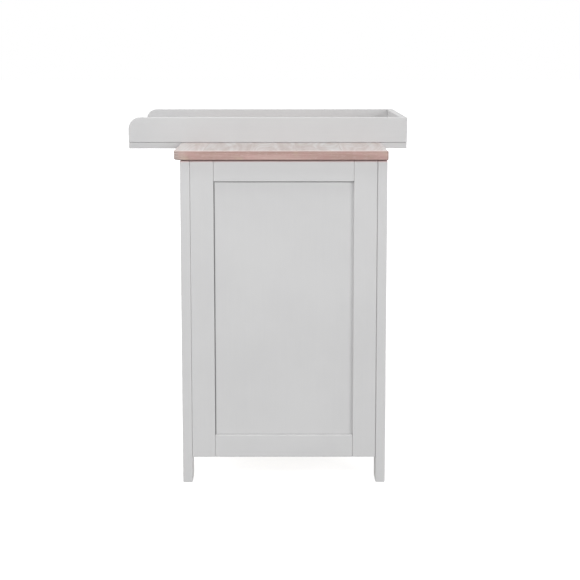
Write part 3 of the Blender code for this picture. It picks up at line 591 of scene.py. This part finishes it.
def ply_material(grain_axis, thickness_axis):
    """Birch plywood: a face veneer, and the glued layers on the edges."""
    shader = Shader(f"birch_ply_{grain_axis}{thickness_axis}".lower(), IOR=WOOD_IOR)
    point = shader.point()
    bands = shader.grain(point, grain_axis, **PLY_BANDS)
    fibres = shader.grain(point, grain_axis, **PLY_FIBRES)
    tone = shader.add_share(fibres, PLY_FIBRE_SHARE, bands)
    veneer = shader.mix(shader.rise(tone, PLY_TONES), PLY_DARK, PLY_LIGHT)
    layers = shader.math("PINGPONG", shader.parts(point)[thickness_axis], PLY_LAYER)
    layered = shader.mix(shader.rise(layers, PLY_LAYER_TONES), PLY_DARK, PLY_LIGHT)
    from_glue = shader.math("ABSOLUTE", shader.math("SUBTRACT", layers, PLY_LAYER / 2))
    glue = shader.fall(from_glue, PLY_GLUE_REACH, PLY_GLUE_SHARE)
    layered = shader.mix(glue, layered, PLY_GLUE)
    facing = shader.parts(shader.add("TexCoord", output="Normal"))[thickness_axis]
    is_face = shader.rise(shader.math("ABSOLUTE", facing), PLY_FACE_TURN)
    colour = shader.mix(is_face, layered, veneer)
    roughness = shader.change(fibres, NOISE_RANGE, PLY_ROUGHNESS)
    return shader.cover(colour, roughness, tone, PLY_RELIEF)


def pine_material():
    """Planed pine of the runner battens, with its grain along Y."""
    shader = Shader("batten_pine_planed", IOR=WOOD_IOR)
    point = shader.point()
    rings = shader.grain(point, "Y", **PINE_RINGS)
    fibres = shader.grain(point, "Y", **PINE_FIBRES)
    tone = shader.add_share(fibres, PINE_FIBRE_SHARE, rings)
    colour = shader.mix(shader.rise(tone, PINE_TONES), PINE_DARK, PINE_LIGHT)
    roughness = shader.change(fibres, NOISE_RANGE, PINE_ROUGHNESS)
    return shader.cover(colour, roughness, tone, PINE_RELIEF)


def back_board_material():
    """Foil-covered hardboard of the back panel, with a fine pressed texture."""
    shader = Shader("back_board_foil", IOR=WOOD_IOR)
    point = shader.point()
    cloud = shader.noise(point, **BOARD_CLOUD)
    fibres = shader.grain(point, "X", **BOARD_FIBRES)
    tone = shader.add_share(fibres, BOARD_FIBRE_SHARE, cloud)
    colour = shader.mix(shader.rise(tone, BOARD_TONES), BOARD_DARK, BOARD_LIGHT)
    roughness = shader.change(fibres, NOISE_RANGE, BOARD_ROUGHNESS)
    return shader.cover(colour, roughness, fibres, BOARD_RELIEF)


def steel_material():
    """Zinc-plated sheet steel, with drawn lines along Y and a clouded bloom."""
    shader = Shader("zinc_steel_plated", Metallic=1.0)
    point = shader.point()
    bloom = shader.grain(point, "Y", **STEEL_BLOOM)
    lines = shader.grain(point, "Y", **STEEL_LINES)
    tone = shader.add_share(lines, STEEL_LINE_SHARE, bloom)
    colour = shader.mix(shader.rise(tone, STEEL_TONES), STEEL_DARK, STEEL_LIGHT)
    roughness = shader.change(tone, STEEL_TONES, STEEL_ROUGHNESS)
    return shader.cover(colour, roughness, lines, STEEL_RELIEF)


def surface_group():
    """Geometry nodes that join a CAD mesh's split corners, smooth its rounded edges and
    store the piece's box, which the paint and the oak read to find the edges."""
    group = bpy.data.node_groups.new("surface_finish", "GeometryNodeTree")
    group.interface.new_socket("Geometry", in_out="INPUT", socket_type="NodeSocketGeometry")
    group.interface.new_socket("Geometry", in_out="OUTPUT", socket_type="NodeSocketGeometry")
    nodes, links = group.nodes, group.links
    source = nodes.new("NodeGroupInput")
    weld = nodes.new("GeometryNodeMergeByDistance")
    weld.inputs["Distance"].default_value = WELD_DISTANCE
    normals = nodes.new("GeometryNodeSetMeshNormal")
    normals.mode = "SHARPNESS"
    angle = nodes.new("GeometryNodeInputMeshEdgeAngle")
    is_sharp = nodes.new("FunctionNodeCompare")
    is_sharp.operation = "GREATER_THAN"
    is_sharp.inputs[1].default_value = SHARP_ANGLE
    extent = nodes.new("GeometryNodeBoundBox")
    links.new(source.outputs[0], weld.inputs["Geometry"])
    links.new(source.outputs[0], extent.inputs["Geometry"])
    links.new(weld.outputs[0], normals.inputs["Mesh"])
    links.new(angle.outputs["Unsigned Angle"], is_sharp.inputs[0])
    links.new(is_sharp.outputs[0], normals.inputs["Edge Sharpness"])
    last = normals.outputs[0]
    for name, corner in (("board_low", "Min"), ("board_high", "Max")):
        store = nodes.new("GeometryNodeStoreNamedAttribute")
        store.data_type = "FLOAT_VECTOR"
        store.domain = "POINT"
        store.inputs["Name"].default_value = name
        links.new(last, store.inputs["Geometry"])
        links.new(extent.outputs[corner], store.inputs["Value"])
        last = store.outputs[0]
    sink = nodes.new("NodeGroupOutput")
    links.new(last, sink.inputs[0])
    return group


def finish_surface(piece, group, material):
    """Gives a CAD node its material and its smooth shading."""
    finish = piece.modifiers.new("surface_finish", "NODES")
    finish.node_group = group
    weighted = piece.modifiers.new("weighted_normals", "WEIGHTED_NORMAL")
    weighted.mode = "FACE_AREA_WITH_ANGLE"
    weighted.weight = NORMAL_WEIGHT
    weighted.keep_sharp = True
    for slot in piece.material_slots:
        slot.material = material


PAINT = {axis: paint_material(f"grey_paint_{axis.lower()}", axis) for axis in "XYZ"}
PANEL_PAINT = paint_material("grey_paint_panel", "Z", tongue=PANEL_TONGUE)
# Darker copies of the paint, with painted shade, for the tray's boards and back rail
TRAY_BOARD_PAINT = paint_material("grey_paint_tray_board_shaded", "X", shade=TRAY_BOARD_PAINTED_SHADE)
TRAY_BACK_PAINT = paint_material("grey_paint_tray_back_shaded", "X", shade=TRAY_BACK_PAINTED_SHADE)
OAK = oak_material()
PLY_SIDE = ply_material("Y", "X")
PLY_BACK = ply_material("X", "Y")
PLY_BOTTOM = ply_material("X", "Z")
PINE = pine_material()
BACK_BOARD = back_board_material()
STEEL = steel_material()


def longest_axis(name):
    """The axis along which a CAD node is longest, where its grain runs."""
    low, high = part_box(name)
    lengths = high - low
    return "XYZ"[max(range(3), key=lambda axis: lengths[axis])]


def material_of(name):
    """The finish of a CAD node, from its name."""
    if name == "top_board":
        return OAK
    if name == "back_panel":
        return BACK_BOARD
    if name.endswith("_panel"):
        return PANEL_PAINT
    if name in ("tray_front_board", "tray_rear_board"):
        return TRAY_BOARD_PAINT
    if name == "tray_back_rail":
        return TRAY_BACK_PAINT
    if name.startswith("runner_batten"):
        return PINE
    if name.startswith(("slide_", "tray_bracket")):
        return STEEL
    if name.startswith("drawer_") and not name.endswith("front"):
        if "_side_" in name:
            return PLY_SIDE
        return PLY_BACK if name.endswith("back") else PLY_BOTTOM
    return PAINT[longest_axis(name)]


finish_group = surface_group()
for node_name, node_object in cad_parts.items():
    finish_surface(node_object, finish_group, material_of(node_name))


def cross_reach(angle):
    """The outline of a cross recess, as a share of the head's radius, at an angle."""
    folded = angle % (math.pi / 2)
    folded = min(folded, math.pi / 2 - folded)
    if folded <= CROSS_ARM_ANGLE:
        return CROSS_REACH / math.cos(folded)
    return CROSS_REACH * math.tan(CROSS_ARM_ANGLE) / math.sin(folded)


def head_height(share):
    """Height of a pan head's top at a share of its radius."""
    return HEAD_HEIGHT * math.sqrt(1 - HEAD_CROWN * share ** 2)


def head_column(angle):
    """Points of a pan head at an angle, from the floor of its cross out to its lower rim."""
    reach = cross_reach(angle)
    column = [(reach * CROSS_TAPER, head_height(reach) - CROSS_DEPTH), (reach, head_height(reach))]
    column += [(share, head_height(share)) for share in HEAD_SHARES]
    column += [(1.0, head_height(1.0)), (1.0, 0.0)]
    return [
        Vector((share * HEAD_RADIUS * math.cos(angle), share * HEAD_RADIUS * math.sin(angle), height))
        for share, height in column
    ]


def screw_head(shape, place, turn):
    """Adds a pan head with a cross recess to a bmesh, at a place, with its top along turn's Z."""
    columns = []
    for step in range(HEAD_STEPS):
        column = head_column(2 * math.pi * step / HEAD_STEPS)
        columns.append([shape.verts.new(Vector(place) + turn @ point) for point in column])
    for step, column in enumerate(columns):
        after = columns[(step + 1) % HEAD_STEPS]
        for ring in range(len(column) - 1):
            shape.faces.new((column[ring], column[ring + 1], after[ring + 1], after[ring]))
    shape.faces.new([column[0] for column in columns])
    shape.faces.new([column[-1] for column in reversed(columns)])


def build_screws(name, body, places, direction):
    """Screw heads at several places, all facing one way, as one piece that rides on a body."""
    shape = bmesh.new()
    turn = Vector(direction).to_track_quat("Z", "Y").to_matrix()
    for number, place in enumerate(places):
        screw_head(shape, place, turn @ Matrix.Rotation(SCREW_TURN * number + SCREW_TURN, 3, "Z"))
    bmesh.ops.recalc_face_normals(shape, faces=shape.faces)
    mesh = bpy.data.meshes.new(name)
    shape.to_mesh(mesh)
    shape.free()
    mesh.shade_smooth()
    mesh.set_sharp_from_angle(angle=HEAD_SHARP_ANGLE)
    mesh.materials.append(STEEL)
    screws = bpy.data.objects.new(name, mesh)
    bpy.context.scene.collection.objects.link(screws)
    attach(screws, body)


def build_slide_screws():
    """Screws in the slots of the channels and of the runners."""
    for number in range(1, DRAWER_COUNT + 1):
        for side_name, side in (("left", -1), ("right", 1)):
            slide = f"slide_{number}_{side_name}"
            runner_low, runner_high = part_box(f"{slide}_runner")
            channel_low, channel_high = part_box(f"{slide}_channel")
            middle_z = (runner_low.z + runner_high.z) / 2
            screw_y = (runner_low.y + SLOT_INSET, runner_high.y - SLOT_INSET)
            leg_side = max(abs(channel_low.x), abs(channel_high.x)) - SLIDE_SHEET
            drawer_side = min(abs(runner_low.x), abs(runner_high.x)) + SLIDE_SHEET
            places = [(side * leg_side, y, middle_z) for y in screw_y]
            build_screws(f"{slide}_channel_screws", "cabinet", places, (-side, 0.0, 0.0))
            places = [(side * drawer_side, y, middle_z) for y in screw_y]
            build_screws(f"{slide}_runner_screws", f"drawer_{number}", places, (side, 0.0, 0.0))


def build_bracket_screws():
    """A screw up into the tray's rear board, and one into the dresser's back rail."""
    for side_name in ("left", "right"):
        low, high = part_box(f"tray_bracket_{side_name}")
        middle_x = (low.x + high.x) / 2
        upper = (middle_x, high.y - BRACKET_UPPER_INSET, high.z - BRACKET_SHEET)
        lower = (middle_x, low.y + BRACKET_SHEET, low.z + BRACKET_LOWER_RAISE)
        name = f"tray_bracket_{side_name}"
        build_screws(f"{name}_upper_screw", "cabinet", [upper], (0.0, 0.0, -1.0))
        build_screws(f"{name}_lower_screw", "cabinet", [lower], (0.0, 1.0, 0.0))


def seen_directly(nodes):
    """1 for rays from the camera, and for their reflections and refractions."""
    camera_ray = nodes.add("LightPath", output="Is Camera Ray")
    rays = camera_ray.node.outputs
    return nodes.largest(camera_ray, rays["Is Glossy Ray"], rays["Is Transmission Ray"])


def floor_material():
    """Matt pale grey for the light of the studio, and a white glow for the camera."""
    shader = Shader(
        "studio_floor_white", Roughness=FLOOR_ROUGHNESS, Specular_IOR_Level=0.0, Emission_Color=WHITE,
    )
    point = shader.point()
    pale = (FLOOR_ALBEDO,) * 3
    paler = (FLOOR_ALBEDO + FLOOR_MOTTLE,) * 3
    shader.drive("Base Color", shader.mix(shader.noise(point, **FLOOR_NOISE), pale, paler))
    radius = shader.add("VectorMath", {0: point}, "Value", operation="LENGTH")
    level = shader.change(radius, FLOOR_RADII, FLOOR_GLOWS)
    shader.drive("Emission Strength", shader.product(seen_directly(shader), level))
    return shader.material


def build_floor():
    """A wide pale floor that keeps a faint shadow of the dresser and is white to the camera."""
    shape = bmesh.new()
    bmesh.ops.create_grid(
        shape, x_segments=FLOOR_SEGMENTS, y_segments=FLOOR_SEGMENTS, size=FLOOR_REACH,
    )
    mesh = bpy.data.meshes.new("studio_floor")
    shape.to_mesh(mesh)
    shape.free()
    mesh.materials.append(floor_material())
    floor = bpy.data.objects.new("studio_floor", mesh)
    bpy.context.scene.collection.objects.link(floor)
    floor.location.z = -FLOOR_DROP


def build_world():
    """White to the camera, and an even light of its own level on the dresser."""
    world = bpy.data.worlds.new("studio_white")
    world.use_nodes = True
    bpy.context.scene.world = world
    nodes = Nodes(world.node_tree)
    background = nodes.tree.nodes["Background"]
    background.inputs["Color"].default_value = WHITE
    strength = nodes.change(seen_directly(nodes), UNIT, (WORLD_LIGHT, 1.0))
    nodes.tree.links.new(strength, background.inputs["Strength"])


def build_lamps():
    """Round softboxes on all sides of the dresser, and one high above it."""
    for name, lamp in LAMPS.items():
        azimuth, elevation = math.radians(lamp["azimuth"]), math.radians(lamp["elevation"])
        outward = Vector((
            math.sin(azimuth) * math.cos(elevation),
            -math.cos(azimuth) * math.cos(elevation),
            math.sin(elevation),
        ))
        light = bpy.data.lights.new(name, "AREA")
        light.shape = "DISK"
        light.size = lamp["size"]
        light.energy = lamp["level"] * (math.pi * lamp["distance"]) ** 2
        holder = bpy.data.objects.new(name, light)
        bpy.context.scene.collection.objects.link(holder)
        holder.location = Vector(LAMP_TARGET) + outward * lamp["distance"]
        holder.rotation_euler = (-outward).to_track_quat("-Z", "Y").to_euler()


def build_camera():
    """The photograph's view: the dresser's right side, from a little above the tray."""
    pitch, yaw = CAMERA_PITCH, CAMERA_YAW
    forward = Vector((
        -math.cos(pitch) * math.cos(yaw), math.cos(pitch) * math.sin(yaw), -math.sin(pitch),
    ))
    right = Vector((math.sin(yaw), math.cos(yaw), 0.0))
    up = right.cross(forward)
    data = bpy.data.cameras.new("photo_camera")
    data.sensor_width = CAMERA_SENSOR
    data.lens = CAMERA_LENS
    data.shift_y = CAMERA_SHIFT_Y
    camera = bpy.data.objects.new("photo_camera", data)
    bpy.context.scene.collection.objects.link(camera)
    turn = Matrix((right, up, -forward)).transposed().to_4x4()
    camera.matrix_world = Matrix.Translation(CAMERA_PLACE) @ turn
    bpy.context.scene.camera = camera


build_slide_screws()
build_bracket_screws()
build_floor()
build_world()
build_lamps()
build_camera()
bpy.context.scene.view_settings.view_transform = "Standard"
